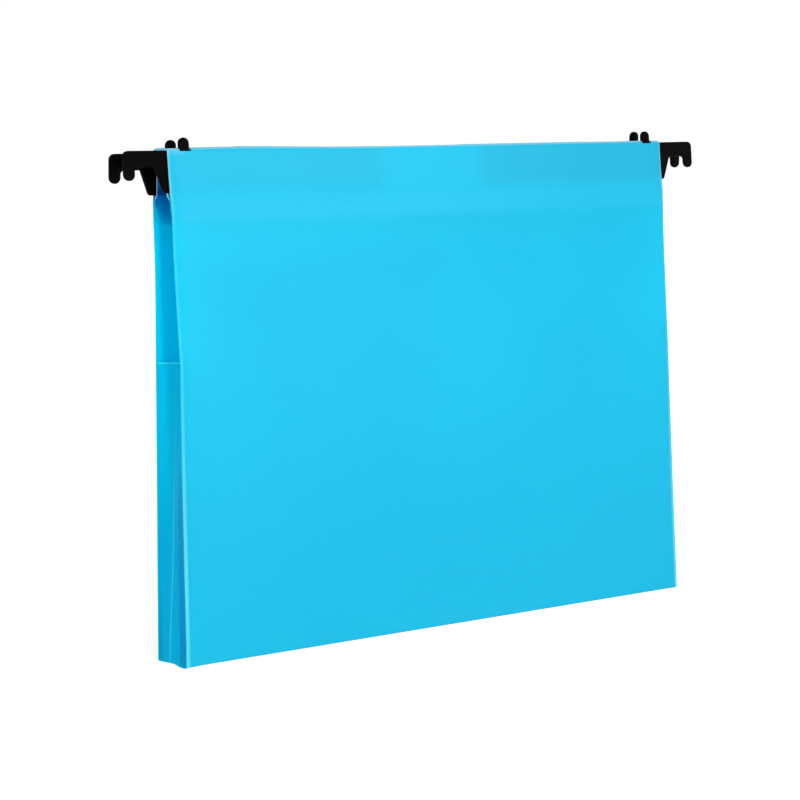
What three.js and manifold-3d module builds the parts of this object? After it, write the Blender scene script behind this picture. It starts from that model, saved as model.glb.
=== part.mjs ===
// Hanging document pocket: a box of creased polypropylene sheet, open at the top, that hangs on
// two rails from four hard plastic hanger arms held in its folded hems.
// Lengths are in millimetres. X runs along the pocket, Y from its front to its rear, Z up.
// The origin lies midway between the four rail seats, which are the roofs of the hook notches.

import * as THREE from 'three';
import { mergeVertices } from 'three/addons/utils/BufferGeometryUtils.js';
import Module from 'manifold-3d';

const wasm = await Module();
wasm.setup();

// Sheet
const sheetThickness = 0.7;
const creaseGap = 0.3;
const openCreaseGap = 0.6;

// Pocket
const pocketHeight = 240;
const pocketWidth = 312;
const waistInset = 1;
const baseFlare = 2.2;
const gussetHeight = 140.6;
const baseDepth = 25;
const waistDepth = 22.8;
const mouthDepth = 12;
const baseSag = 0.8;
const gussetFoldLow = 1.5;
const gussetFoldHigh = 5.3;
const panelCornerRadius = 2;

// Hem
const hemCornerRadius = 1.5;
const hemFoldRadius = 1.2;
const hemSeamDrop = 24.6;
const hemLipDrop = 35;
const hemLipCornerRadius = 8;
const armClearance = 0.3;
const knobSlotWidth = 7;
const knobSlotDepth = 1.6;
const tabWindowInset = 28;
const tabWindowLength = 82;
const tabWindowDepth = 1.4;

// Hanger arm
const armThickness = 1.6;
const armHeight = 19.6;
const armMiddleGap = 58;
const hookOverhang = 24;
const armInnerRadius = 3;
const armOuterRadius = 2.8;
const prongWidth = 5.4;
const prongDrop = 13.7;
const notchWidth = 10.8;
const railSeatDrop = 7.8;
const notchFillet = 1.8;
const shoulderRun = 4.6;
const shoulderRadius = 1.8;
const knobInset = 9;
const knobWidth = 5.6;
const knobRise = 5.9;
const roundEndShare = 0.49;

// Fineness of the solids and of their cutting tools
const arcSteps = 5;
const gussetSteps = 6;
const cutOverrun = 1;

const halfTurn = Math.PI;
const waistWidth = pocketWidth - 2 * waistInset;
const baseWidth = pocketWidth + 2 * baseFlare;
const lowerLean = Math.atan2((baseDepth - waistDepth) / 2, gussetHeight);
const flapRise = pocketHeight - gussetHeight;
const upperLean = Math.atan2((waistDepth - mouthDepth) / 2, flapRise);
const panelLength = gussetHeight / Math.cos(lowerLean);
const flapLength = flapRise / Math.cos(upperLean);
const hemThickness = 2 * sheetThickness + armThickness + 2 * armClearance;
const armTop = flapLength - sheetThickness - armClearance;
const armFace = sheetThickness + armClearance;
const knobPlace = pocketWidth / 2 - knobInset;

const pocketMaterial = new THREE.MeshStandardMaterial({ color: 0x2cc4f0, roughness: 0.42, metalness: 0 });
const gussetMaterial = new THREE.MeshStandardMaterial({ color: 0x12a6dc, roughness: 0.42, metalness: 0 });
const armMaterial = new THREE.MeshStandardMaterial({ color: 0x0a0a0b, roughness: 0.38, metalness: 0 });

// A closed outline through corners [across, up, radius], each rounded by a tangent arc.
function roundedShape(corners) {
  const shape = new THREE.Shape();
  corners.forEach(([x, y, radius = 0], index) => {
    const corner = new THREE.Vector2(x, y);
    const before = new THREE.Vector2(...corners.at(index - 1));
    const after = new THREE.Vector2(...corners[(index + 1) % corners.length]);
    const back = before.sub(corner).normalize();
    const ahead = after.sub(corner).normalize();
    const half = Math.acos(back.dot(ahead)) / 2;
    const draw = index === 0 ? 'moveTo' : 'lineTo';
    if (radius === 0) {
      shape[draw](x, y);
      return;
    }
    const reach = radius / Math.tan(half);
    const start = corner.clone().addScaledVector(back, reach);
    const end = corner.clone().addScaledVector(ahead, reach);
    const inward = back.clone().add(ahead).normalize();
    const centre = corner.clone().addScaledVector(inward, radius / Math.sin(half));
    const clockwise = back.cross(ahead) > 0;
    shape[draw](start.x, start.y);
    const from = Math.atan2(start.y - centre.y, start.x - centre.x);
    const to = Math.atan2(end.y - centre.y, end.x - centre.x);
    shape.absarc(centre.x, centre.y, radius, from, to, clockwise);
  });
  return shape;
}

// A plate whose outline lies in X and Z, from the plane y = near back to y = far.
function plateAcross(shape, near, far) {
  const geometry = new THREE.ExtrudeGeometry(shape, {
    depth: far - near,
    bevelEnabled: false,
    curveSegments: arcSteps,
  });
  return geometry.rotateX(halfTurn / 2).translate(0, far, 0);
}

// A bar whose section lies in Y and Z, from x = start to x = end.
function barAlong(shape, start, end) {
  const geometry = new THREE.ExtrudeGeometry(shape, {
    depth: end - start,
    bevelEnabled: false,
    curveSegments: arcSteps,
  });
  const turn = new THREE.Matrix4().makeBasis(
    new THREE.Vector3(0, 1, 0),
    new THREE.Vector3(0, 0, 1),
    new THREE.Vector3(1, 0, 0),
  );
  return geometry.applyMatrix4(turn).translate(start, 0, 0);
}

// A closed skin over rings of points that all have the same number of corners.
function skinOver(rings) {
  const count = rings[0].length;
  const triangles = [];
  for (let ring = 0; ring + 1 < rings.length; ring += 1) {
    for (let corner = 0; corner < count; corner += 1) {
      const next = (corner + 1) % count;
      const low = ring * count;
      const high = low + count;
      triangles.push(low + corner, low + next, high + next);
      triangles.push(low + corner, high + next, high + corner);
    }
  }
  const last = (rings.length - 1) * count;
  for (let corner = 1; corner + 1 < count; corner += 1) {
    triangles.push(0, corner + 1, corner);
    triangles.push(last, last + corner, last + corner + 1);
  }
  const geometry = new THREE.BufferGeometry();
  geometry.setAttribute('position', new THREE.Float32BufferAttribute(rings.flat(2), 3));
  geometry.setIndex(triangles);
  return geometry;
}

// The same geometry seen in a mirror at x = 0, with its faces still pointing out.
function mirrored(geometry) {
  const copy = geometry.clone().scale(-1, 1, 1);
  if (!copy.index) {
    copy.setIndex([...Array(copy.attributes.position.count).keys()]);
  }
  const order = copy.index.array;
  for (let face = 0; face < order.length; face += 3) {
    [order[face], order[face + 1]] = [order[face + 1], order[face]];
  }
  copy.computeVertexNormals();
  return copy;
}

function toSolid(geometry) {
  const bare = geometry.clone();
  bare.deleteAttribute('normal');
  bare.deleteAttribute('uv');
  const merged = mergeVertices(bare);
  const mesh = new wasm.Mesh({
    numProp: 3,
    vertProperties: merged.attributes.position.array,
    triVerts: new Uint32Array(merged.index.array),
  });
  return new wasm.Manifold(mesh);
}

function toGeometry(solid) {
  const mesh = solid.getMesh();
  const geometry = new THREE.BufferGeometry();
  geometry.setAttribute('position', new THREE.Float32BufferAttribute(mesh.vertProperties, 3));
  geometry.setIndex([...mesh.triVerts]);
  geometry.computeVertexNormals();
  return geometry;
}

function part(name, geometry, material) {
  const mesh = new THREE.Mesh(geometry, material);
  mesh.name = name;
  return mesh;
}

// Half the pocket's width and half its depth, and the depth of the gusset's fold, at a height
// between the base crease and the top of the gusset.
function boxAt(height) {
  const share = height / gussetHeight;
  return {
    width: THREE.MathUtils.lerp(baseWidth, waistWidth, share) / 2,
    depth: THREE.MathUtils.lerp(baseDepth, waistDepth, share) / 2,
    fold: THREE.MathUtils.lerp(gussetFoldLow, gussetFoldHigh, share),
  };
}

// Lower part of a panel: a flat sheet that leans in slightly, from the base crease up to the
// line level with the gusset's top, where the sheet starts to bend towards the hem.
function lowerPanel() {
  const outline = roundedShape([
    [-baseWidth / 2, 0, panelCornerRadius],
    [baseWidth / 2, 0, panelCornerRadius],
    [waistWidth / 2, panelLength],
    [-waistWidth / 2, panelLength],
  ]);
  return plateAcross(outline, -sheetThickness, 0);
}

// Section of the upper part of a panel. The sheet goes up to the top fold, turns over the arm,
// comes down inside and is welded to itself below the arm, and its edge hangs free as a lip.
function flapSection() {
  const inside = -sheetThickness;
  const doubled = -2 * sheetThickness;
  const channelTop = flapLength - sheetThickness;
  const channelBottom = armTop - armHeight - armClearance;
  const seam = flapLength - hemSeamDrop;
  const lip = flapLength - hemLipDrop;
  const outline = roundedShape([
    [0, creaseGap],
    [0, flapLength, hemFoldRadius],
    [-hemThickness, flapLength, hemFoldRadius],
    [-hemThickness, channelBottom],
    [doubled, seam],
    [doubled, lip],
    [inside, lip],
    [inside, creaseGap],
  ]);
  const channel = roundedShape([
    [inside, channelTop],
    [inside, seam + sheetThickness],
    [sheetThickness - hemThickness, channelBottom],
    [sheetThickness - hemThickness, channelTop],
  ]);
  outline.holes.push(channel);
  return outline;
}

// A cutter for the outer lower corner of the lip, which leaves the outer sheet whole.
function lipCornerCutter() {
  const side = pocketWidth / 2;
  const edge = pocketWidth;
  const lip = flapLength - hemLipDrop;
  const start = side - hemLipCornerRadius - cutOverrun;
  const top = lip + hemLipCornerRadius + cutOverrun;
  const outline = roundedShape([
    [start, lip - cutOverrun],
    [edge, lip - cutOverrun],
    [edge, top],
    [side, top],
    [side, lip, hemLipCornerRadius],
    [start, lip],
  ]);
  return plateAcross(outline, -hemThickness - cutOverrun, -sheetThickness);
}

// A cutter that opens the top fold over a stretch of the hem, to a depth below its top.
function foldCutter(start, end, depth) {
  const outline = roundedShape([
    [-hemThickness - cutOverrun, flapLength - depth],
    [cutOverrun, flapLength - depth],
    [cutOverrun, flapLength + cutOverrun],
    [-hemThickness - cutOverrun, flapLength + cutOverrun],
  ]);
  return barAlong(outline, start, end);
}

// Upper part of a panel, with its hem, the knob slots and, on the rear one, the tab windows.
function flap(hasTabWindows) {
  const outline = roundedShape([
    [-waistWidth / 2, 0],
    [waistWidth / 2, 0],
    [pocketWidth / 2, flapLength, hemCornerRadius],
    [-pocketWidth / 2, flapLength, hemCornerRadius],
  ]);
  const face = toSolid(plateAcross(outline, -hemThickness - cutOverrun, cutOverrun));
  let solid = toSolid(barAlong(flapSection(), -pocketWidth, pocketWidth)).intersect(face);
  const cutters = [
    lipCornerCutter(),
    foldCutter(knobPlace - knobSlotWidth / 2, knobPlace + knobSlotWidth / 2, knobSlotDepth),
  ];
  if (hasTabWindows) {
    cutters.push(foldCutter(tabWindowInset, tabWindowInset + tabWindowLength, tabWindowDepth));
  }
  for (const cutter of cutters) {
    solid = solid.subtract(toSolid(cutter)).subtract(toSolid(mirrored(cutter)));
  }
  return toGeometry(solid);
}

// A hanger arm on the right: a flat bar with one downward prong outside the panel's edge, a notch
// that drops over the rail, a sloping shoulder, and a knob that stands up through the hem.
function hangerArm() {
  const innerEnd = armMiddleGap / 2;
  const outerEnd = pocketWidth / 2 + hookOverhang;
  const prongInside = outerEnd - prongWidth;
  const notchInside = prongInside - notchWidth;
  const tipRadius = prongWidth * roundEndShare;
  const knobRadius = knobWidth * roundEndShare;
  const outline = roundedShape([
    [innerEnd, 0, armInnerRadius],
    [innerEnd, -armHeight, armInnerRadius],
    [notchInside - shoulderRun, -armHeight, shoulderRadius],
    [notchInside, -railSeatDrop],
    [prongInside, -railSeatDrop, notchFillet],
    [prongInside, -prongDrop, tipRadius],
    [outerEnd, -prongDrop, tipRadius],
    [outerEnd, 0, armOuterRadius],
    [knobPlace + knobWidth / 2, 0],
    [knobPlace + knobWidth / 2, knobRise, knobRadius],
    [knobPlace - knobWidth / 2, knobRise, knobRadius],
    [knobPlace - knobWidth / 2, 0],
  ]);
  return plateAcross(outline, -armFace - armThickness, -armFace).translate(0, 0, armTop);
}

// Half of a gusset on the left, from the panel's edge to the middle crease. It is nearly flat at
// the base and folds in more towards its top, because the panels come closer there.
function gussetLeaf() {
  const rings = [];
  const bottom = sheetThickness + creaseGap;
  for (let step = 0; step <= gussetSteps; step += 1) {
    const height = THREE.MathUtils.lerp(bottom, gussetHeight, step / gussetSteps);
    const { width, depth, fold } = boxAt(height);
    const edge = depth - sheetThickness - creaseGap;
    rings.push([
      [-width, edge, height],
      [fold - width, creaseGap / 2, height],
      [fold - width + sheetThickness, creaseGap / 2, height],
      [sheetThickness - width, edge, height],
    ]);
  }
  return skinOver(rings);
}

// Half of the base, from a panel's lower edge to the middle crease, which hangs slightly lower.
function baseLeaf(edgeGap) {
  const edge = baseDepth / 2 - sheetThickness - edgeGap;
  const section = roundedShape([
    [edge, 0],
    [edge, sheetThickness],
    [creaseGap / 2, sheetThickness - baseSag],
    [creaseGap / 2, -baseSag],
  ]);
  const end = baseWidth / 2 - panelCornerRadius;
  return barAlong(section, -end, end);
}

// One side of the pocket, built as its rear. Turned by half a turn, it is the front.
function side(name, turn, hasTabWindows, baseEdgeGap) {
  const [left, right] = turn === 0 ? ['left', 'right'] : ['right', 'left'];
  const group = new THREE.Group();
  group.rotation.z = turn;

  const lower = new THREE.Group();
  lower.position.y = baseDepth / 2;
  lower.rotation.x = lowerLean;
  lower.add(part(`${name}_panel`, lowerPanel(), pocketMaterial));

  const upper = new THREE.Group();
  upper.position.set(0, waistDepth / 2, gussetHeight);
  upper.rotation.x = upperLean;
  upper.add(part(`${name}_flap`, flap(hasTabWindows), pocketMaterial));
  upper.add(part(`${name}_${right}_hanger_arm`, hangerArm(), armMaterial));
  upper.add(part(`${name}_${left}_hanger_arm`, mirrored(hangerArm()), armMaterial));

  group.add(lower, upper);
  group.add(part(`${left}_gusset_${name}_leaf`, gussetLeaf(), gussetMaterial));
  group.add(part(`${right}_gusset_${name}_leaf`, mirrored(gussetLeaf()), gussetMaterial));
  group.add(part(`base_${name}_leaf`, baseLeaf(baseEdgeGap), pocketMaterial));
  return group;
}

// Height of the rail seats above the base crease.
function seatHeight() {
  const out = -(armFace + armThickness / 2);
  const up = armTop - railSeatDrop;
  return gussetHeight + out * Math.sin(upperLean) + up * Math.cos(upperLean);
}

const pocket = new THREE.Group();
pocket.add(side('rear', 0, true, creaseGap));
pocket.add(side('front', halfTurn, false, openCreaseGap));
pocket.position.z = -seatHeight();

export default pocket;
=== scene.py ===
"""Hanging document pocket: creased translucent sheet, side gussets and black hanger arms.

Lengths are in metres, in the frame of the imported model: X runs along the pocket, Y from its
front to its rear, Z up, and the origin lies midway between the four rail seats.
"""

import math

import bmesh
import bpy
from mathutils import Matrix, Vector


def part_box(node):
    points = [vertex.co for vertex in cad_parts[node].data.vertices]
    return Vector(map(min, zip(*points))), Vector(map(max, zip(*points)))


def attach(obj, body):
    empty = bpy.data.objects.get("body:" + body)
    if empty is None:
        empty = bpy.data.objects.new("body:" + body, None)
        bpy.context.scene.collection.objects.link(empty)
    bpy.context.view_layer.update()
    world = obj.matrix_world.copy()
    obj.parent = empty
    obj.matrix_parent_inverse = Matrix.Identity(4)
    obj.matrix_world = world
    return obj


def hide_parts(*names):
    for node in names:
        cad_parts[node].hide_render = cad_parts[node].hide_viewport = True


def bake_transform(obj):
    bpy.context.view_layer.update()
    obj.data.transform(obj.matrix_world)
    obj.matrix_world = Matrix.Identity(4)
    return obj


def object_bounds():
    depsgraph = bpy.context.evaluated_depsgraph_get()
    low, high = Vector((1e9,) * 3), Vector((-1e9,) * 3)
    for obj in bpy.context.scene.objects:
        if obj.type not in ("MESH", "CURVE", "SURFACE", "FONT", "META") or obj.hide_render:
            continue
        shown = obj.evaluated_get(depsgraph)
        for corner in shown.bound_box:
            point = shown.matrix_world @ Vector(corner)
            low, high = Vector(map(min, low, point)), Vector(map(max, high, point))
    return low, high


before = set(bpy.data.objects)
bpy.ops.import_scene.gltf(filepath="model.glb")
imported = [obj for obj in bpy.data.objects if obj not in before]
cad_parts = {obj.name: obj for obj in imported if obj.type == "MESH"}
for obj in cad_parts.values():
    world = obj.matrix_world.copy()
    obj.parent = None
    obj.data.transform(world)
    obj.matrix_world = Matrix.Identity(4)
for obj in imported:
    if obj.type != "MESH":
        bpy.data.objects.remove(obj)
cad_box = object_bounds()

# Camera: the photograph's viewpoint, left of the pocket's front and level with its hem, with
# the long lens and the slight tilt that a fit to the photograph's corners and edges gave.

camera_place = Vector((-0.8280, -1.0291, 0.0038))
camera_yaw = math.radians(38.178)
camera_pitch = math.radians(-5.277)
camera_roll = math.radians(-1.35)
camera_lens = 118.96

forward = Vector((
    math.sin(camera_yaw) * math.cos(camera_pitch),
    math.cos(camera_yaw) * math.cos(camera_pitch),
    math.sin(camera_pitch),
))
level_right = Vector((math.cos(camera_yaw), -math.sin(camera_yaw), 0))
level_up = level_right.cross(forward)
camera_right = level_right * math.cos(camera_roll) + level_up * math.sin(camera_roll)
camera_up = level_up * math.cos(camera_roll) - level_right * math.sin(camera_roll)

camera_data = bpy.data.cameras.new("camera")
camera_data.lens = camera_lens
camera = bpy.data.objects.new("camera", camera_data)
bpy.context.scene.collection.objects.link(camera)
turn = Matrix((camera_right, camera_up, -forward)).transposed().to_4x4()
camera.matrix_world = Matrix.Translation(camera_place) @ turn
bpy.context.scene.camera = camera
bpy.context.scene.view_settings.view_transform = "Standard"


# Studio: a pale floor some way below the hanging pocket, a white surround for the camera and
# for gloss, an even ambient light, a soft key lamp in front, a weaker one to its right and a
# faint one to its left.

class Value:
    """A number socket in a node tree, which adds Math nodes when it is used in an expression."""

    def __init__(self, tree, socket):
        self.tree = tree
        self.socket = socket

    def math(self, operation, *terms):
        node = self.tree.nodes.new("ShaderNodeMath")
        node.operation = operation
        for slot, term in zip(node.inputs, terms):
            if isinstance(term, Value):
                self.tree.links.new(term.socket, slot)
            else:
                slot.default_value = term
        return Value(self.tree, node.outputs[0])

    def __add__(self, other):
        return self.math("ADD", self, other)

    def __radd__(self, other):
        return self.math("ADD", other, self)

    def __sub__(self, other):
        return self.math("SUBTRACT", self, other)

    def __rsub__(self, other):
        return self.math("SUBTRACT", other, self)

    def __mul__(self, other):
        return self.math("MULTIPLY", self, other)

    def __rmul__(self, other):
        return self.math("MULTIPLY", other, self)

    def __abs__(self):
        return self.math("ABSOLUTE", self)

    def larger(self, other):
        return self.math("MAXIMUM", self, other)

    def cosine(self):
        return self.math("COSINE", self)

    def between(self, low, high):
        """0 up to low and 1 from high on, with a smooth rise; low may be the larger of the two."""
        node = self.tree.nodes.new("ShaderNodeMapRange")
        node.interpolation_type = "SMOOTHSTEP"
        self.tree.links.new(self.socket, node.inputs["Value"])
        node.inputs["From Min"].default_value = min(low, high)
        node.inputs["From Max"].default_value = max(low, high)
        node.inputs["To Min"].default_value = float(low > high)
        node.inputs["To Max"].default_value = float(low < high)
        return Value(self.tree, node.outputs["Result"])


class Finish:
    """A node tree under construction, for a material or the world."""

    def __init__(self, owner):
        owner.use_nodes = True
        self.owner = owner
        self.tree = owner.node_tree
        self.tree.nodes.clear()

    def add(self, kind, settings=(), **sockets):
        """A new node. A socket's name is written with _ for its spaces."""
        node = self.tree.nodes.new(kind)
        for name, setting in dict(settings).items():
            setattr(node, name, setting)
        for name, term in sockets.items():
            self.feed(node.inputs[name.replace("_", " ")], term)
        return node

    def feed(self, slot, term):
        if isinstance(term, Value):
            term = term.socket
        if isinstance(term, bpy.types.NodeSocket):
            self.tree.links.new(term, slot)
        else:
            slot.default_value = term

    def value(self, socket):
        return Value(self.tree, socket)

    def place(self):
        """The point on the piece, and its three coordinates, in the row frame."""
        point = self.add("ShaderNodeTexCoord").outputs["Object"]
        split = self.add("ShaderNodeSeparateXYZ", Vector=point)
        return point, *(self.value(output) for output in split.outputs)

    def noise(self, point, scale, detail=2.0):
        node = self.add("ShaderNodeTexNoise", Vector=point, Scale=scale, Detail=detail)
        return self.value(node.outputs["Fac"])

    def mix(self, factor, first, second):
        """Two colours mixed. A Mix node's colour sockets are inputs 6 and 7 and output 2."""
        node = self.add("ShaderNodeMix", {"data_type": "RGBA"})
        self.feed(node.inputs["Factor"], factor)
        self.feed(node.inputs[6], first)
        self.feed(node.inputs[7], second)
        return node.outputs[2]

    def bump(self, height, distance):
        node = self.add("ShaderNodeBump", Height=height, Distance=distance, Strength=1.0)
        return node.outputs["Normal"]


def paint(red, green, blue):
    """A colour given as eight-bit screen values, in linear light by the sRGB curve."""
    def linear(level):
        level = level / 255
        return level / 12.92 if level <= 0.04045 else ((level + 0.055) / 1.055) ** 2.4
    return linear(red), linear(green), linear(blue), 1.0


floor_drop = 0.15
floor_reach = 12.0
floor_colour = paint(238, 238, 238)
plain_white = (1, 1, 1, 1)
near_glow = 0.53
far_glow = 1.0
near_distance_squared = 0.1
far_distance_squared = 4.0
ambient_level = 0.60
lamp_aim = Vector((0, 0, -0.11))

world = bpy.data.worlds.new("studio")
bpy.context.scene.world = world
surround = Finish(world)
rays = surround.add("ShaderNodeLightPath").outputs
seen = surround.value(rays["Is Camera Ray"])
seen = seen.larger(surround.value(rays["Is Glossy Ray"]))
seen = seen.larger(surround.value(rays["Is Transmission Ray"]))
ambient = surround.add("ShaderNodeBackground", Color=plain_white, Strength=ambient_level)
white = surround.add("ShaderNodeBackground", Color=plain_white, Strength=1.0)
blend = surround.add("ShaderNodeMixShader", Fac=seen)
surround.feed(blend.inputs[1], ambient.outputs[0])
surround.feed(blend.inputs[2], white.outputs[0])
surround.add("ShaderNodeOutputWorld", Surface=blend.outputs[0])

for name, place, width, power in (
    ("key_lamp", Vector((-0.37, -1.20, 0.58)), 0.16, 7.8),
    ("fill_lamp", Vector((0.86, -1.50, -0.02)), 0.6, 3.0),
    ("side_lamp", Vector((-1.10, -0.62, 0.02)), 0.5, 1.1),
):
    lamp_data = bpy.data.lights.new(name, "AREA")
    lamp_data.size = width
    lamp_data.energy = power
    lamp = bpy.data.objects.new(name, lamp_data)
    bpy.context.scene.collection.objects.link(lamp)
    lamp.visible_camera = False
    lamp.location = place
    lamp.rotation_euler = (lamp_aim - place).to_track_quat("-Z", "Y").to_euler()

floor_mesh = bmesh.new()
bmesh.ops.create_grid(floor_mesh, x_segments=1, y_segments=1, size=floor_reach)
bmesh.ops.translate(floor_mesh, verts=floor_mesh.verts, vec=(0, 0, cad_box[0].z - floor_drop))
floor_data = bpy.data.meshes.new("floor")
floor_mesh.to_mesh(floor_data)
floor_mesh.free()
floor = bpy.data.objects.new("floor", floor_data)
bpy.context.scene.collection.objects.link(floor)
pale = Finish(bpy.data.materials.new("floor_pale"))
rays = pale.add("ShaderNodeLightPath").outputs
seen = pale.value(rays["Is Camera Ray"]).larger(pale.value(rays["Is Glossy Ray"]))
_, x, y, _ = pale.place()
far = (x * x + y * y).between(near_distance_squared, far_distance_squared)
surface = pale.add("ShaderNodeBsdfDiffuse", Color=floor_colour)
glow = pale.add("ShaderNodeEmission", Color=plain_white)
pale.feed(glow.inputs["Strength"], seen * (far * (far_glow - near_glow) + near_glow))
both = pale.add("ShaderNodeAddShader")
pale.feed(both.inputs[0], surface.outputs[0])
pale.feed(both.inputs[1], glow.outputs[0])
pale.add("ShaderNodeOutputMaterial", Surface=both.outputs[0])
floor_data.materials.append(pale.owner)


# Front and rear sheets: one creased sheet of translucent cyan polypropylene on the real pocket.
# Each side is cut flat, folded up at the base, bowed in towards the mouth, turned over at the
# top into a hem for the hanger arms, welded below them, and left as a free lip inside.

sheet = 0.0007
base_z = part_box("rear_panel")[0].z
waist_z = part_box("rear_panel")[1].z
top_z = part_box("rear_flap")[1].z
base_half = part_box("rear_panel")[1].x
waist_half = 0.155
mouth_half = 0.156
base_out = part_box("rear_panel")[1].y
waist_out = 0.0114
mouth_out = 0.0060
lower_lean = math.atan2(base_out - waist_out, waist_z - base_z)
upper_lean = math.atan2(waist_out - mouth_out, top_z - waist_z)
flap_length = (top_z - waist_z) / math.cos(upper_lean)
hem_depth = 0.0036
channel_drop = 0.0209
weld_drop = 0.0246
weld_pitch = 0.0050
lip_drop = 0.0350
lip_stand_off = 0.0008
base_turn_radius = 0.00045
base_turn_in = 0.0012
base_corner = 0.0006
hem_corner = 0.0015
crown_spare = 0.0003
lip_corner = 0.0080
weld_gap = 0.00006
knob_place = 0.1470
knob_slot_width = 0.0064
knob_slot_depth = 0.0016
front_left_slide = 0.0011
rear_left_slide = -0.0006
window_start = 0.0280
window_end = 0.1100
slit_end = 0.0004
slit_rise = 0.96
edge_bow = 0.0005
belly = 0.0012
front_hem_lift = 0.00095
rear_hem_lift = 0.00125
lift_start = 0.035
lift_full = 0.120
lift_fade = 0.020
front_sway = [
    (0.000, 0.00000), (0.016, 0.00020), (0.028, 0.00075), (0.052, -0.00010),
    (0.100, -0.00055), (0.165, -0.00055), (0.240, 0.00000),
]
rear_sway = [
    (0.000, 0.00000), (0.016, 0.00015), (0.026, 0.00045), (0.058, -0.00090),
    (0.090, -0.00100), (0.165, -0.00080), (0.240, 0.00000),
]
corner_flare = 0.0003
corner_flare_out = 0.8
corner_reach = 0.0100
edge_round_share = 0.2
sharp_angle = math.radians(60)

# How finely the mesh follows the sheet, from its base fold to the end of its lip.
column_width = 0.0060
row_height = 0.0040
base_turn_steps = 6
first_rows = [0.0016, 0.0020, 0.0026]
coarse_end = 0.0035
fine_start = 0.0025
fine_row = 0.0006
hem_turn_steps = 16
weld_steps = 6
lip_start = 0.0008
lip_row = 0.0010
corner_spare = 0.0002

# The sheet's colours: its own cyan with a faint mottle, and painted light and shade: a darker tone
# towards the base, a lighter one at the upper left, deeper tones for the doubled hem and for the
# shade of the arms behind it, darker towards the right, a pale highlight for the side edges that
# also serves the real pale weld spots, white highlights for the top fold, grey shade for the slits,
# navy shade under the hem inside, and a paler cut edge as its highlight.
outer_colour = paint(16, 221, 244)
outer_deep = paint(12, 215, 241)
outer_low_shade = paint(12, 210, 234)
outer_lit = paint(19, 228, 251)
pale_weld_and_edge_highlight = paint(124, 250, 255)
hem_shade = paint(9, 202, 241)
hem_right_shade = paint(2, 198, 238)
arm_band_shade = paint(6, 188, 227)
arm_band_right_shade = paint(4, 180, 219)
fold_highlight = paint(206, 244, 250)
slit_shade = paint(128, 198, 220)
inner_colour = paint(4, 228, 255)
inner_deep = paint(3, 221, 252)
arm_shade_colour = paint(0, 84, 206)
cut_edge_highlight = paint(50, 234, 255)
through_colour = paint(36, 236, 255)

# Translucency, gloss, roughness, relief, and how strong each painted shade, highlight and weld
# mark is.
see_through = 0.45
hem_see_through = 0.14
lip_see_through = 0.60
over_arm_see_through = 0.05
outer_gloss = 0.27
inner_gloss = 0.05
cut_gloss = 0.10
sheet_roughness = 0.32
grain_roughness = 0.08
grain_scale = 2600.0
grain_detail = 3.0
grain_depth = 0.10
ripple_scale = 34.0
ripple_depth = 0.9
relief = 0.00014
mottle_scale = 9.0
mottle_range = (0.3, 0.7)
edge_highlight_strength = 0.30
edge_highlight_foot_strength = 0.65
edge_highlight_foot_width = 0.0008
crown_highlight_strength = 0.32
crown_end_highlight_strength = 0.15
corner_highlight_strength = 0.16
inner_crown_highlight_strength = 0.35
weld_depth = 0.3
weld_paleness = 0.2
low_shade_share = 0.9
lit_share = 0.7
arm_shade_share = 0.95
weld_level = top_z - weld_drop - 0.0010

# Where each painted shade, highlight and weld mark begins and where it is full: a height, a
# place along the hem, or a distance from the sheet's edge or from the weld line.
edge_highlight_inset = (0.0013, 0.0001)
edge_highlight_foot = (waist_z + 0.03, base_z + 0.02)
low_shade_level = (waist_z + 0.02, base_z + 0.03)
lit_level = (top_z - 0.060, top_z - 0.042)
doubled_level = (top_z - 0.037, top_z - 0.031)
arm_shade_level = (top_z - 0.034, top_z - 0.021)
arm_shade_end = (top_z - 0.0014, top_z - 0.0030)
arm_band_level = (top_z - 0.0245, top_z - 0.0165)
hem_end_level = (top_z - 0.024, top_z - 0.020)
corner_level = (top_z - 0.0040, top_z - 0.0008)
inner_crown_level = (top_z - 0.0016, top_z - 0.0003)
crown_level = (top_z - 0.0014, top_z - 0.0002)
slit_level = (top_z - 0.0008, top_z - 0.0004)
weld_line = (0.0007, 0.0003)
weld_spot = (0.1, 0.8)
arm_start = (0.0255, 0.0365)
slit_span_start = (window_start - 0.0002, window_start + 0.0002)
slit_span_end = (window_end + 0.0002, window_end - 0.0002)
crown_end = (0.146, 0.154)
hem_end = (0.150, 0.152)
corner_end = (-0.1450, -0.1480)
right_shade_span = (-0.02, 0.12)
lit_left = (0.08, -0.10)


def sway(side, height):
    """How far a sheet stands out from the straight line between its folds, at a height: a
    smooth curve through the profile's points, which are drops from the hem's top."""
    profile = rear_sway if side > 0 else front_sway
    drop = min(max(top_z - height, profile[0][0]), profile[-1][0])
    index = max(i for i, (knot, _) in enumerate(profile[:-1]) if knot <= drop)
    (start, first), (end, last) = profile[index], profile[index + 1]

    def slope(knot):
        low, under = profile[max(knot - 1, 0)]
        high, over = profile[min(knot + 1, len(profile) - 1)]
        return (over - under) / (high - low) * (end - start)

    share = (drop - start) / (end - start)
    straight = first + (last - first) * share
    leave = slope(index) - (last - first)
    arrive = slope(index + 1) - (last - first)
    return straight + share * (1 - share) * (leave * (1 - share) - arrive * share)


def half_width(height):
    """Half of a sheet's width at a height: straight from fold to fold, and slightly bowed."""
    full = (height - base_z) / (top_z - base_z)
    swell = edge_bow * math.sin(math.pi * min(max(full, 0), 1))
    if height <= waist_z:
        share = (height - base_z) / (waist_z - base_z)
        return base_half + (waist_half - base_half) * share + swell
    share = (height - waist_z) / (top_z - waist_z)
    return waist_half + (mouth_half - waist_half) * share + swell


def ease(share):
    """A smooth rise from 0 to 1."""
    share = min(max(share, 0), 1)
    return share * share * (3 - 2 * share)


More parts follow.
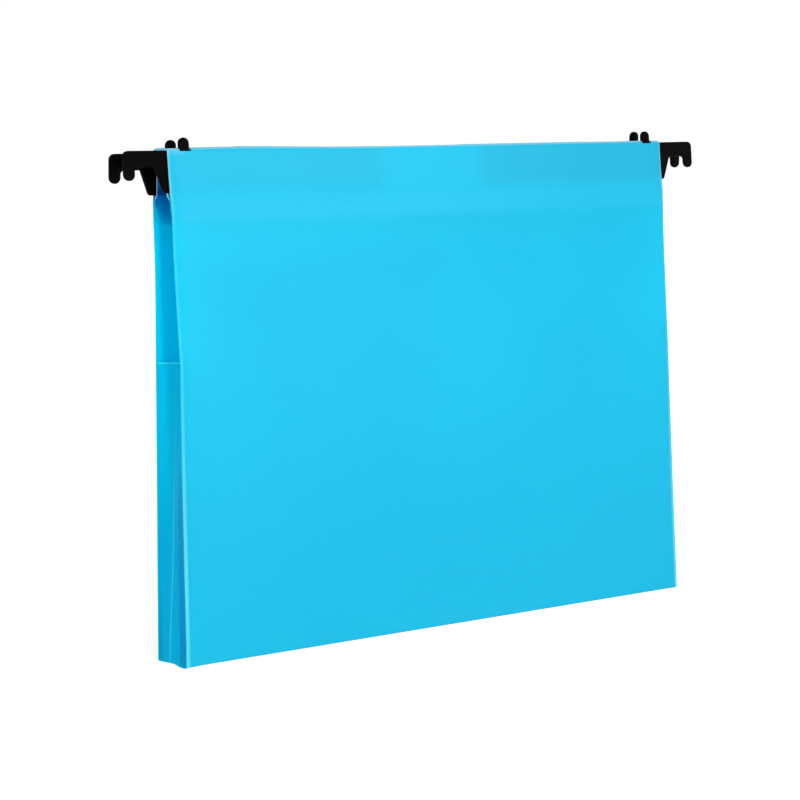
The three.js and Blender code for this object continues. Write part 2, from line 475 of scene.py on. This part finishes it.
def lower_point(out, up):
    """Depth and height of a point on the lower panel, out from its outer face and up along it."""
    depth = base_out + out * math.cos(lower_lean) - up * math.sin(lower_lean)
    return depth, base_z + out * math.sin(lower_lean) + up * math.cos(lower_lean)


def upper_point(out, up):
    """The same on the upper panel, counted up from the line level with the gusset's top."""
    depth = waist_out + out * math.cos(upper_lean) - up * math.sin(upper_lean)
    return depth, waist_z + out * math.sin(upper_lean) + up * math.cos(upper_lean)


def steps(start, end, size):
    """Even steps from start to end, both included."""
    count = max(1, round(abs(end - start) / size))
    return [start + (end - start) * step / count for step in range(count + 1)]


def corner_cut(distance, radius):
    """How much a round corner of that radius takes off, at a distance from the sheet's edge."""
    if distance >= radius:
        return 0.0
    return radius - math.sqrt(radius ** 2 - (radius - distance) ** 2)


def sheet_stations():
    """The folded sheet's middle line from the base to the end of the lip, as rows of depth,
    height, what its corners take off its width there, and the corner's radius."""
    middle = -sheet / 2
    rows = []

    def add_row(place, distance, corner):
        rows.append((*place, corner_cut(distance, corner), corner))

    inner = base_out + middle - base_turn_radius
    add_row((inner - base_turn_in, base_z - middle), 0, base_corner)
    for step in range(base_turn_steps + 1):
        angle = math.pi / 2 * step / base_turn_steps
        depth = inner + base_turn_radius * math.sin(angle)
        height = base_z - middle + base_turn_radius * (1 - math.cos(angle))
        add_row((depth, height), height - base_z, base_corner)

    length = (waist_z - base_z) / math.cos(lower_lean)
    rise = base_turn_radius - middle
    for up in first_rows + steps(row_height, length, row_height):
        depth, height = lower_point(middle, up)
        add_row((depth, height), height - base_z - rise, base_corner)

    fold = hem_depth / 2 + middle
    shoulder = flap_length - hem_depth / 2
    straight = steps(row_height, shoulder - coarse_end, row_height)
    for up in straight + steps(shoulder - fine_start, shoulder, fine_row):
        add_row(upper_point(middle, up), flap_length - up, hem_corner)
    for step in range(1, hem_turn_steps):
        angle = math.pi * step / hem_turn_steps
        up = shoulder + fold * math.sin(angle)
        place = upper_point(-hem_depth / 2 + fold * math.cos(angle), up)
        add_row(place, shoulder + fold - up + crown_spare, hem_corner)

    inside = middle - 2 * fold
    channel = flap_length - channel_drop
    straight = steps(shoulder - coarse_end, channel, row_height)
    for up in steps(shoulder, shoulder - fine_start, fine_row) + straight:
        add_row(upper_point(inside, up), flap_length - up, hem_corner)

    welded = middle - sheet - weld_gap
    weld = flap_length - weld_drop
    for step in range(1, weld_steps + 1):
        share = step / weld_steps
        out = inside + (welded - inside) * ease(share)
        add_row(upper_point(out, channel + (weld - channel) * share), lip_corner, lip_corner)

    lip = flap_length - lip_drop
    for up in steps(weld - lip_start, lip, lip_row):
        share = (weld - up) / (weld - lip)
        add_row(upper_point(welded - lip_stand_off * share ** 2, up), up - lip, lip_corner)
    return rows


def hem_lift(side, x):
    """The left half of each hem stands slightly high, the rear one's most of all."""
    most = rear_hem_lift if side > 0 else front_hem_lift
    return most * ease((-x - lift_start) / (lift_full - lift_start))


def slit_point(depth, height):
    """Where a point of the top fold goes when the fold is slit and its two halves stand up."""
    along, up = depth - waist_out, height - waist_z
    out = along * math.cos(upper_lean) + up * math.sin(upper_lean)
    up = up * math.cos(upper_lean) - along * math.sin(upper_lean)
    shoulder = flap_length - hem_depth / 2
    fold = (hem_depth - sheet) / 2
    if up <= shoulder:
        return depth, height
    turn = math.asin(min((up - shoulder) / fold, 1))
    half = math.copysign(fold, out + hem_depth / 2)
    return upper_point(half - hem_depth / 2, shoulder + fold * turn * slit_rise)


def add_object(name, mesh_builder, *materials):
    """A new object with the finished mesh, placed at the origin."""
    data = bpy.data.meshes.new(name)
    mesh_builder.to_mesh(data)
    mesh_builder.free()
    for material in materials:
        data.materials.append(material)
    piece = bpy.data.objects.new(name, data)
    bpy.context.scene.collection.objects.link(piece)
    for polygon in data.polygons:
        polygon.use_smooth = True
    return piece


def thicken(piece, thickness, rim_slot):
    """Gives a sheet its thickness, its other face the next material, its cut edges the one in
    the rim's slot and a slight round."""
    solid = piece.modifiers.new("thickness", "SOLIDIFY")
    solid.thickness = thickness
    solid.offset = 0
    solid.use_even_offset = True
    solid.material_offset = 1
    solid.material_offset_rim = rim_slot
    edge = piece.modifiers.new("edge", "BEVEL")
    edge.width = thickness * edge_round_share
    edge.segments = 2
    edge.limit_method = "ANGLE"
    edge.angle_limit = sharp_angle


def flared(x, depth, height):
    """The front sheet's left base corner is pulled slightly out and down, with the gusset."""
    away = math.dist((x, depth, height), (-base_half, -base_out, base_z))
    pull = corner_flare * ease(1 - away / corner_reach)
    return x - pull * corner_flare_out, depth, height - pull


def belly_share(across, height):
    """The soft belly of a sheet: none at its edges, its base and its hem."""
    if height > waist_z:
        rise = min(max((top_z - weld_drop - height) / (top_z - weld_drop - waist_z), 0), 1)
    else:
        rise = min(max((height - base_z) / (waist_z - base_z), 0), 1)
    return math.sin(math.pi / 2 * rise) ** 2 * math.cos(math.pi / 2 * min(across, 1)) ** 2


def flat_rows(bm, columns, rows):
    """A flat grid of faces, given as its rows of vertices, to be moved to where they belong."""
    made = bmesh.ops.create_grid(bm, x_segments=columns - 1, y_segments=rows - 1, size=1.0)
    verts = made["verts"]
    return [verts[start:start + columns] for start in range(0, len(verts), columns)]


def folded_sheet(side, windows):
    """A sheet with its hem: a flat grid whose rows are moved to the stations. Knob slots are cut
    out of the fold, and windows slit along it, by deleting their faces."""
    knobs = [-knob_place + (rear_left_slide if side > 0 else front_left_slide), knob_place]
    cuts = [knob + half for knob in knobs for half in (-knob_slot_width / 2, knob_slot_width / 2)]
    if windows:
        ends = [window_start, window_start + slit_end, window_end - slit_end, window_end]
        cuts += ends + [-end for end in ends]
    even = steps(-mouth_half, mouth_half, column_width)
    free = [x for x in even if min(abs(x - cut) for cut in cuts) > column_width / 4]
    columns = sorted(free + cuts)
    bm = bmesh.new()
    rows = sheet_stations()
    lines = flat_rows(bm, len(columns), len(rows))
    spots = {vert: (index, x) for index, line in enumerate(lines) for vert, x in zip(line, columns)}
    crown = max(range(len(rows)), key=lambda index: rows[index][1])
    for line, (depth, height, cut, radius) in zip(lines, rows):
        half = half_width(height)
        reach = 2 * radius + corner_spare
        swell = sway(side, height)
        for vert, x in zip(line, columns):
            slit = windows and window_start < abs(x) < window_end
            out, up = slit_point(depth, height) if slit else (depth, height)
            across = abs(x) / mouth_half * half if abs(x) > window_end else abs(x)
            near_edge = min(max((across - half + reach) / reach, 0), 1)
            across -= cut * near_edge
            round_out = belly * belly_share(across / half, height)
            up += hem_lift(side, x) * ease((height - top_z + lip_drop) / lift_fade)
            vert.co = flared(math.copysign(across, x), side * (out + swell + round_out), up)
    doomed = []
    for face in bm.faces:
        face_rows = [spots[vert][0] for vert in face.verts]
        face.material_index = int(min(face_rows) >= crown)
        middle = sum(spots[vert][1] for vert in face.verts) / 4
        drop = top_z - sum(rows[row][1] for row in face_rows) / 4
        in_slot = min(abs(middle - knob) for knob in knobs) < knob_slot_width / 2
        in_window = windows and window_start < abs(middle) < window_end
        if (in_slot and drop < knob_slot_depth) or (in_window and crown in face_rows):
            doomed.append(face)
    bmesh.ops.delete(bm, geom=doomed, context="FACES")
    if side > 0:
        bmesh.ops.reverse_faces(bm, faces=bm.faces)
    return bm


def sheet_surface(finish, colour, gloss, through_share, pressed=0.0):
    """Translucent sheet with a fine matt grain; pressed is where it is pressed in by a tool."""
    point, *_ = finish.place()
    grain = finish.noise(point, grain_scale, grain_detail)
    ripple = finish.noise(point, ripple_scale)
    surface = finish.add(
        "ShaderNodeBsdfPrincipled",
        Base_Color=colour,
        Roughness=sheet_roughness + grain * grain_roughness,
        Specular_IOR_Level=gloss,
        Normal=finish.bump(grain * grain_depth + ripple * ripple_depth - pressed, relief),
    )
    through = finish.add("ShaderNodeBsdfTranslucent", Color=through_colour)
    both = finish.add("ShaderNodeMixShader", Fac=through_share)
    finish.feed(both.inputs[1], surface.outputs[0])
    finish.feed(both.inputs[2], through.outputs[0])
    finish.add("ShaderNodeOutputMaterial", Surface=both.outputs[0])
    return finish.owner


def mottled(finish, point, light, deep):
    """A faint large mottle of two shades."""
    return finish.mix(finish.noise(point, mottle_scale).between(*mottle_range), light, deep)


def hem_level(x, z):
    """Height in the hem, less what the hem's left half is lifted."""
    return z - x.between(-lift_start, -lift_full) * ((front_hem_lift + rear_hem_lift) / 2)


def outer_sheet():
    """Outward face: a faint large mottle and the weld line's pale spots, with painted light and
    shade: a pale highlight along the side edges that widens downwards, darker towards the base,
    lighter at the upper left, the doubled hem deeper and a greyer band for the shade of the
    black arms behind it, both darker towards the right, and a painted highlight on the top fold."""
    finish = Finish(bpy.data.materials.new("sheet_outer_face"))
    point, x, _, z = finish.place()
    below = base_half + (z - base_z) * ((waist_half - base_half) / (waist_z - base_z))
    above = waist_half + (z - waist_z) * ((mouth_half - waist_half) / (top_z - waist_z))
    inset = below.larger(above) - abs(x)
    foot = z.between(*edge_highlight_foot)
    edge_highlight = (inset - foot * edge_highlight_foot_width).between(*edge_highlight_inset)
    edge_highlight = edge_highlight * (foot * edge_highlight_foot_strength + edge_highlight_strength)
    spots = (x * (2 * math.pi / weld_pitch)).cosine().between(*weld_spot)
    weld = spots * abs(z - weld_level).between(*weld_line) * weld_depth
    level = hem_level(x, z)
    doubled = level.between(*doubled_level)
    band = abs(x).between(*arm_start) * level.between(*arm_band_level)
    highlight_share = abs(x).between(*crown_end) * crown_end_highlight_strength + crown_highlight_strength
    crown = level.between(*crown_level) * highlight_share
    corner = level.between(*corner_level) * x.between(*corner_end) * corner_highlight_strength
    right = x.between(*right_shade_span)
    high = z.between(*lit_level) * x.between(*lit_left) * lit_share

    colour = mottled(finish, point, outer_colour, outer_deep)
    # Painted shade: the sheet darker towards its base.
    colour = finish.mix(z.between(*low_shade_level) * low_shade_share, colour, outer_low_shade)
    # Painted light: the sheet lighter at the upper left, below the hem.
    colour = finish.mix(high, colour, outer_lit)
    # Painted shade: the doubled hem is deeper where its second layer lets less light through, and
    # darker towards the right end.
    colour = finish.mix(doubled, colour, finish.mix(right, hem_shade, hem_right_shade))
    # Painted shade of the black arms behind the hem, darker towards the right end.
    colour = finish.mix(band, colour, finish.mix(right, arm_band_shade, arm_band_right_shade))
    # The weld line's own pale spots.
    colour = finish.mix(weld * weld_paleness, colour, pale_weld_and_edge_highlight)
    # Painted highlight along the side edges, where light comes through the single-layer flange; it
    # widens towards the base.
    colour = finish.mix(edge_highlight, colour, pale_weld_and_edge_highlight)
    # Painted highlight along the top fold's crown and at the hem's left end.
    colour = finish.mix(crown.larger(corner), colour, fold_highlight)

    through_share = see_through - doubled * (see_through - hem_see_through)
    through_share = through_share - band * (hem_see_through - over_arm_see_through)
    return sheet_surface(finish, colour, outer_gloss, through_share, weld)


def inner_sheet():
    """Inward face: deeper, with painted navy shade under the hem where the black arms keep
    light from it, a painted highlight along the top fold and painted grey shade in the slits.
    """
    finish = Finish(bpy.data.materials.new("sheet_inner_face"))
    point, x, _, z = finish.place()
    level = hem_level(x, z)
    shade = abs(x).between(*arm_start) * level.between(*arm_shade_level)
    shade = shade * level.between(*arm_shade_end)
    highlight_share = abs(x).between(*crown_end) * inner_crown_highlight_strength + inner_crown_highlight_strength
    crown = level.between(*inner_crown_level) * highlight_share
    slit = abs(x).between(*slit_span_end) * abs(x).between(*slit_span_start)

    colour = mottled(finish, point, inner_colour, inner_deep)
    colour = finish.mix(shade * arm_shade_share, colour, arm_shade_colour)
    # Painted highlight along the top fold's crown.
    colour = finish.mix(crown, colour, fold_highlight)
    # Painted grey shade on the standing halves of the slit fold.
    colour = finish.mix(slit * level.between(*slit_level), colour, slit_shade)

    doubled = level.between(*doubled_level)
    through_share = see_through - doubled * (see_through - lip_see_through)
    return sheet_surface(finish, colour, inner_gloss, through_share)


def cut_edge():
    """Cut edge of the sheet: paler, as a painted highlight where the edge catches the light,
    and nearly white at the ends of the hem, where that painted highlight is strongest.
    """
    finish = Finish(bpy.data.materials.new("sheet_cut_edge"))
    _, x, _, z = finish.place()
    end_highlight = z.between(*hem_end_level) * abs(x).between(*hem_end)
    colour = finish.mix(end_highlight, cut_edge_highlight, fold_highlight)
    through_share = see_through - end_highlight * (see_through - hem_see_through)
    return sheet_surface(finish, colour, cut_gloss, through_share)


outer_finish = outer_sheet()
inner_finish = inner_sheet()
cut_finish = cut_edge()

for name, side, windows in (("rear", 1, True), ("front", -1, False)):
    finishes = (outer_finish, inner_finish, outer_finish, cut_finish)
    piece = add_object(f"{name}_sheet", folded_sheet(side, windows), *finishes)
    thicken(piece, sheet, 3)
    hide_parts(f"{name}_panel", f"{name}_flap")
    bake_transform(piece)


# Gussets: at each end a strip of the same sheet, welded between the edges of the two big
# sheets and pleated inwards along its middle, more at its open top than at the base. Towards
# the base the front sheet stands a little past the weld as a bright narrow flange.

gusset_rise = 0.0009
gusset_z = waist_z + gusset_rise
gusset_bottom_gap = 0.0008
gusset_bottom = base_z + gusset_bottom_gap
gusset_foot = 0.0007
foot_clear = 0.0102
front_dip = 0.0011
dip_start = 0.0010
dip_full = -0.0050
dip_end = 0.0086
dip_fade = 0.7
fold_high = 0.0053
fold_power = 1.4
fold_roundness = 0.75
fold_curve = 1.7
flange_low = 0.0016
flange_rise = 0.090
edge_gap = 0.00012
crease_radius = 0.0005
crease_lean = 0.0028
gusset_colour = paint(3, 217, 251)
gusset_deep = paint(2, 210, 248)
gusset_low_shade = paint(2, 203, 238)
margin_shadow = paint(0, 168, 216)
crease_highlight = paint(58, 248, 255)
upper_see_through = 0.30
gusset_gloss = 0.04
rear_shade_share = 0.8

# Where each painted shade and highlight begins and where it is full: heights, and depths across the
# strip.
lean_level = (base_z + 0.060, base_z)
crease_highlight_level = (waist_z - 0.02, base_z + 0.06)
crease_highlight_line = (0.0007, 0.0002)
rim_highlight_level = (gusset_z - 0.0010, gusset_z - 0.0005)
front_shadow_level = (base_z + 0.105, base_z + 0.070)
front_shadow_depth = (-0.0042, -0.0050)
rear_shade_level = (base_z + 0.045, base_z + 0.008)
rear_shade_depth = (0.0070, 0.0105)
gusset_low_shade_level = (base_z + 0.095, base_z + 0.040)
gusset_upper_level = (base_z + 0.060, base_z + 0.110)


def gusset_edge(side, height):
    """Depth of the strip's edge, just inside the rear or the front sheet."""
    share = (height - base_z) / (gusset_z - base_z)
    depth = base_out + (waist_out - base_out) * share + sway(side, height)
    return depth - sheet - edge_gap


def gusset_foot_drop(side, depth):
    """How far the strip's lower edge reaches down past the ends of the base. It stays above
    the turned-in edges of the big sheets, and the left strip's front half hangs lower."""
    if abs(depth) > foot_clear:
        return 0.0
    dip = front_dip * ease((dip_start - depth) / (dip_start - dip_full))
    dip *= 1 - dip_fade * ease((abs(depth) - dip_end) / (foot_clear - dip_end))
    return gusset_foot + (dip if side < 0 else 0.0)


def gusset_strip(side):
    """The pleated strip: a flat grid whose rows are moved to their heights."""
    bm = bmesh.new()
    across = [1.0, 0.96, 0.89, 0.86, 0.75, 0.65, 0.52, 0.40, 0.27, 0.16, 0.09, 0.05, 0.025, 0.0]
    places = [-share for share in across] + across[-2::-1]
    heights = steps(gusset_bottom, gusset_z, row_height)
    lines = flat_rows(bm, len(places), len(heights))
    for line, height in zip(lines, heights):
        share = (height - base_z) / (gusset_z - base_z)
        fold = fold_high * share ** fold_power
        flange = flange_low * ease(1 - (height - base_z) / flange_rise)
        half = half_width(height) - sheet / 2
        for vert, place in zip(line, places):
            edge = gusset_edge(place, height)
            turn = crease_radius / edge
            near_edge = math.sqrt(place ** 2 + turn ** 2) - turn
            rounded = fold_roundness * (1 - near_edge ** fold_curve)
            inset = fold * (rounded + (1 - fold_roundness) * (1 - near_edge))
            inset += flange * (1 - place) / 2
            drop = gusset_foot_drop(side, place * edge) if line is lines[0] else 0.0
            vert.co = flared(side * (half - inset), place * edge, height - drop)
    if side < 0:
        bmesh.ops.reverse_faces(bm, faces=bm.faces)
    return bm


def gusset_sheet():
    """Outward face of a gusset: painted highlights along its top edge and along its middle crease,
    which leans back towards the base; painted shadow along the front margin, cast by the front
    sheet's flange, painted shade in the rear lower corner, and darker towards the base."""
    finish = Finish(bpy.data.materials.new("gusset_outer_face"))
    point, _, y, z = finish.place()
    across = abs(y - z.between(*lean_level) * crease_lean)
    crease = across.between(*crease_highlight_line) * z.between(*crease_highlight_level)
    front_shadow = y.between(*front_shadow_depth) * z.between(*front_shadow_level)
    rear_shade = y.between(*rear_shade_depth) * z.between(*rear_shade_level)
    margin_shadows = front_shadow.larger(rear_shade * rear_shade_share)

    colour = mottled(finish, point, gusset_colour, gusset_deep)
    # Painted shade: the strip darker towards the base.
    colour = finish.mix(z.between(*gusset_low_shade_level), colour, gusset_low_shade)
    # Painted shadow of the front sheet's flange along the front margin, and painted shade in the
    # rear lower corner.
    colour = finish.mix(margin_shadows, colour, margin_shadow)
    # Painted highlights along the middle crease and along the strip's top edge.
    colour = finish.mix(crease.larger(z.between(*rim_highlight_level)), colour, crease_highlight)

    upper = z.between(*gusset_upper_level)
    through_share = see_through - upper * (see_through - upper_see_through)
    return sheet_surface(finish, colour, gusset_gloss, through_share)


gusset_finish = gusset_sheet()
for name, side in (("left", -1), ("right", 1)):
    finishes = (gusset_finish, inner_finish, cut_finish)
    piece = add_object(f"{name}_gusset", gusset_strip(side), *finishes)
    thicken(piece, sheet, 2)
    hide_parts(f"{name}_gusset_rear_leaf", f"{name}_gusset_front_leaf")
    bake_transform(piece)


# Base: the stretch of the big sheet between its two base folds, creased along its middle,
# where the real pocket folds when it is squeezed, and sagging slightly there. Its ends stop just
# inside the gussets.

base_sag = 0.0008
sag_round = 0.04
sag_power = 4
base_edge = base_out - sheet / 2 - base_turn_radius - base_turn_in - edge_gap
base_end_gap = 0.00015
base_end_notch = 0.16


def base_end(depth):
    """Half length of the base at a depth: it ends inside the gussets, with a shallow notch that
    leaves them room to fold in."""
    room = base_out - sheet - edge_gap
    inset = flange_low * (1 - depth / room) / 2
    return half_width(base_z) - sheet - inset - base_end_gap - base_end_notch * (room - abs(depth))


def base_strip():
    """The creased strip: a flat grid whose rows are moved along the base from left to right."""
    bm = bmesh.new()
    across = [1.0, 0.9, 0.75, 0.6, 0.45, 0.3, 0.18, 0.09, 0.04, 0.0]
    places = [-share for share in across] + across[-2::-1]
    stations = steps(-(base_half - base_corner), base_half - base_corner, column_width)
    lines = flat_rows(bm, len(places), len(stations))
    for line, x in zip(lines, stations):
        for vert, place in zip(line, places):
            drop = base_sag * (1 - math.sqrt(place ** 2 + sag_round ** 2))
            drop *= 1 - (x / base_half) ** sag_power
            depth = place * base_edge
            along = x / stations[-1] * base_end(depth)
            vert.co = flared(along, depth, base_z + sheet / 2 - max(drop, 0))
    bmesh.ops.reverse_faces(bm, faces=bm.faces)
    return bm


base_piece = add_object("base_sheet", base_strip(), inner_finish, outer_finish, cut_finish)
thicken(base_piece, sheet, 2)
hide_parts("base_rear_leaf", "base_front_leaf")
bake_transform(base_piece)


# Hanger arms: flat bars moulded in hard black plastic. Each lies in a hem and ends in a
# downward prong and a notch that drops over the rail, with a knob standing up through the hem.

arm_thickness = 0.0016
arm_face = 0.0010
arm_top = flap_length - arm_face
arm_height = 0.0196
arm_inner_end = 0.0290
prong_spare = 0.0005
arm_outer_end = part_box("rear_right_hanger_arm")[1].x + prong_spare
prong_width = 0.0059
prong_drop = 0.0137
notch_width = 0.0108
seat_drop = 0.0078
shoulder_run = 0.0046
knob_width = 0.0056
knob_rise = 0.0059
inner_end_corner = 0.0030
slope_foot_corner = 0.0018
slope_top_corner = 0.0004
seat_corner = 0.0018
outer_top_corner = 0.0028
knob_foot_corner = 0.0005
round_end_share = 0.49
corner_segments = 8
arm_edge_round = 0.00035
arm_edge_segments = 3
same_place = 1e-6
front_left_rise = 0.00095
hanger_black = (0.0007, 0.0006, 0.0006, 1.0)
hanger_gloss = 0.03
hanger_roughness = 0.42
hanger_grain_roughness = 0.14
hanger_grain_scale = 1800.0
hanger_relief = 0.00004


def arm_outline():
    """Corners of the right arm's outline: along, down from its top edge, and corner radius."""
    prong_inside = arm_outer_end - prong_width
    notch_inside = prong_inside - notch_width
    tip = prong_width * round_end_share
    knob = knob_width * round_end_share
    return [
        (arm_inner_end, 0, inner_end_corner),
        (arm_inner_end, -arm_height, inner_end_corner),
        (notch_inside - shoulder_run, -arm_height, slope_foot_corner),
        (notch_inside, -seat_drop, slope_top_corner),
        (prong_inside, -seat_drop, seat_corner),
        (prong_inside, -prong_drop, tip),
        (arm_outer_end, -prong_drop, tip),
        (arm_outer_end, 0, outer_top_corner),
        (knob_place + knob_width / 2, 0, knob_foot_corner),
        (knob_place + knob_width / 2, knob_rise, knob),
        (knob_place - knob_width / 2, knob_rise, knob),
        (knob_place - knob_width / 2, 0, knob_foot_corner),
    ]


def round_corner(bm, vert, radius):
    """Rounds one corner of a flat outline with a vertex bevel."""
    first, second = (edge.other_vert(vert).co - vert.co for edge in vert.link_edges)
    reach = radius / math.tan(first.angle(second) / 2)
    bmesh.ops.bevel(
        bm,
        geom=[vert],
        offset=reach,
        offset_type="OFFSET",
        segments=corner_segments,
        profile=0.5,
        affect="VERTICES",
        material=-1,
    )


def hanger_arm(side_x, side_y):
    """One arm. The left ones have slid a little along their hems, and the front one is tipped."""
    bm = bmesh.new()
    corners = arm_outline()
    verts = [bm.verts.new((along, 0, up)) for along, up, _ in corners]
    bm.faces.new(verts)
    for vert, (_, _, radius) in zip(verts, corners):
        round_corner(bm, vert, radius)
    bmesh.ops.remove_doubles(bm, verts=bm.verts, dist=same_place)
    made = bmesh.ops.extrude_face_region(bm, geom=bm.faces[:])["geom"]
    back = [item for item in made if isinstance(item, bmesh.types.BMVert)]
    bmesh.ops.translate(bm, verts=back, vec=(0, arm_thickness, 0))
    bmesh.ops.recalc_face_normals(bm, faces=bm.faces)
    rim = [edge for edge in bm.edges if edge.calc_face_angle(0) > sharp_angle]
    bmesh.ops.bevel(
        bm,
        geom=rim,
        offset=arm_edge_round,
        offset_type="OFFSET",
        segments=arm_edge_segments,
        profile=0.5,
        affect="EDGES",
        clamp_overlap=True,
        material=-1,
    )
    for vert in bm.verts:
        out = -arm_face - arm_thickness + vert.co.y
        depth, height = upper_point(out, arm_top + vert.co.z)
        x = side_x * vert.co.x
        if side_x < 0:
            x += rear_left_slide if side_y > 0 else front_left_slide
        if side_x < 0 and side_y < 0:
            height += front_left_rise * (-x - arm_inner_end) / (knob_place - arm_inner_end)
        vert.co = (x, side_y * depth, height)
    bm.normal_update()
    bmesh.ops.recalc_face_normals(bm, faces=bm.faces)
    return bm


def moulded_black():
    """Hard black plastic: nearly black, satin, with the fine texture of its mould."""
    finish = Finish(bpy.data.materials.new("hanger_black_plastic"))
    point, *_ = finish.place()
    grain = finish.noise(point, hanger_grain_scale, grain_detail)
    surface = finish.add(
        "ShaderNodeBsdfPrincipled",
        Base_Color=hanger_black,
        Roughness=hanger_roughness + grain * hanger_grain_roughness,
        Specular_IOR_Level=hanger_gloss,
        Normal=finish.bump(grain, hanger_relief),
    )
    finish.add("ShaderNodeOutputMaterial", Surface=surface.outputs[0])
    return finish.owner


arm_finish = moulded_black()
for depth_name, side_y in (("rear", 1), ("front", -1)):
    for side_name, side_x in (("left", -1), ("right", 1)):
        name = f"{depth_name}_{side_name}_hanger_arm"
        piece = add_object(f"{name}_moulding", hanger_arm(side_x, side_y), arm_finish)
        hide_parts(name)
        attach(piece, f"{depth_name}_flap")
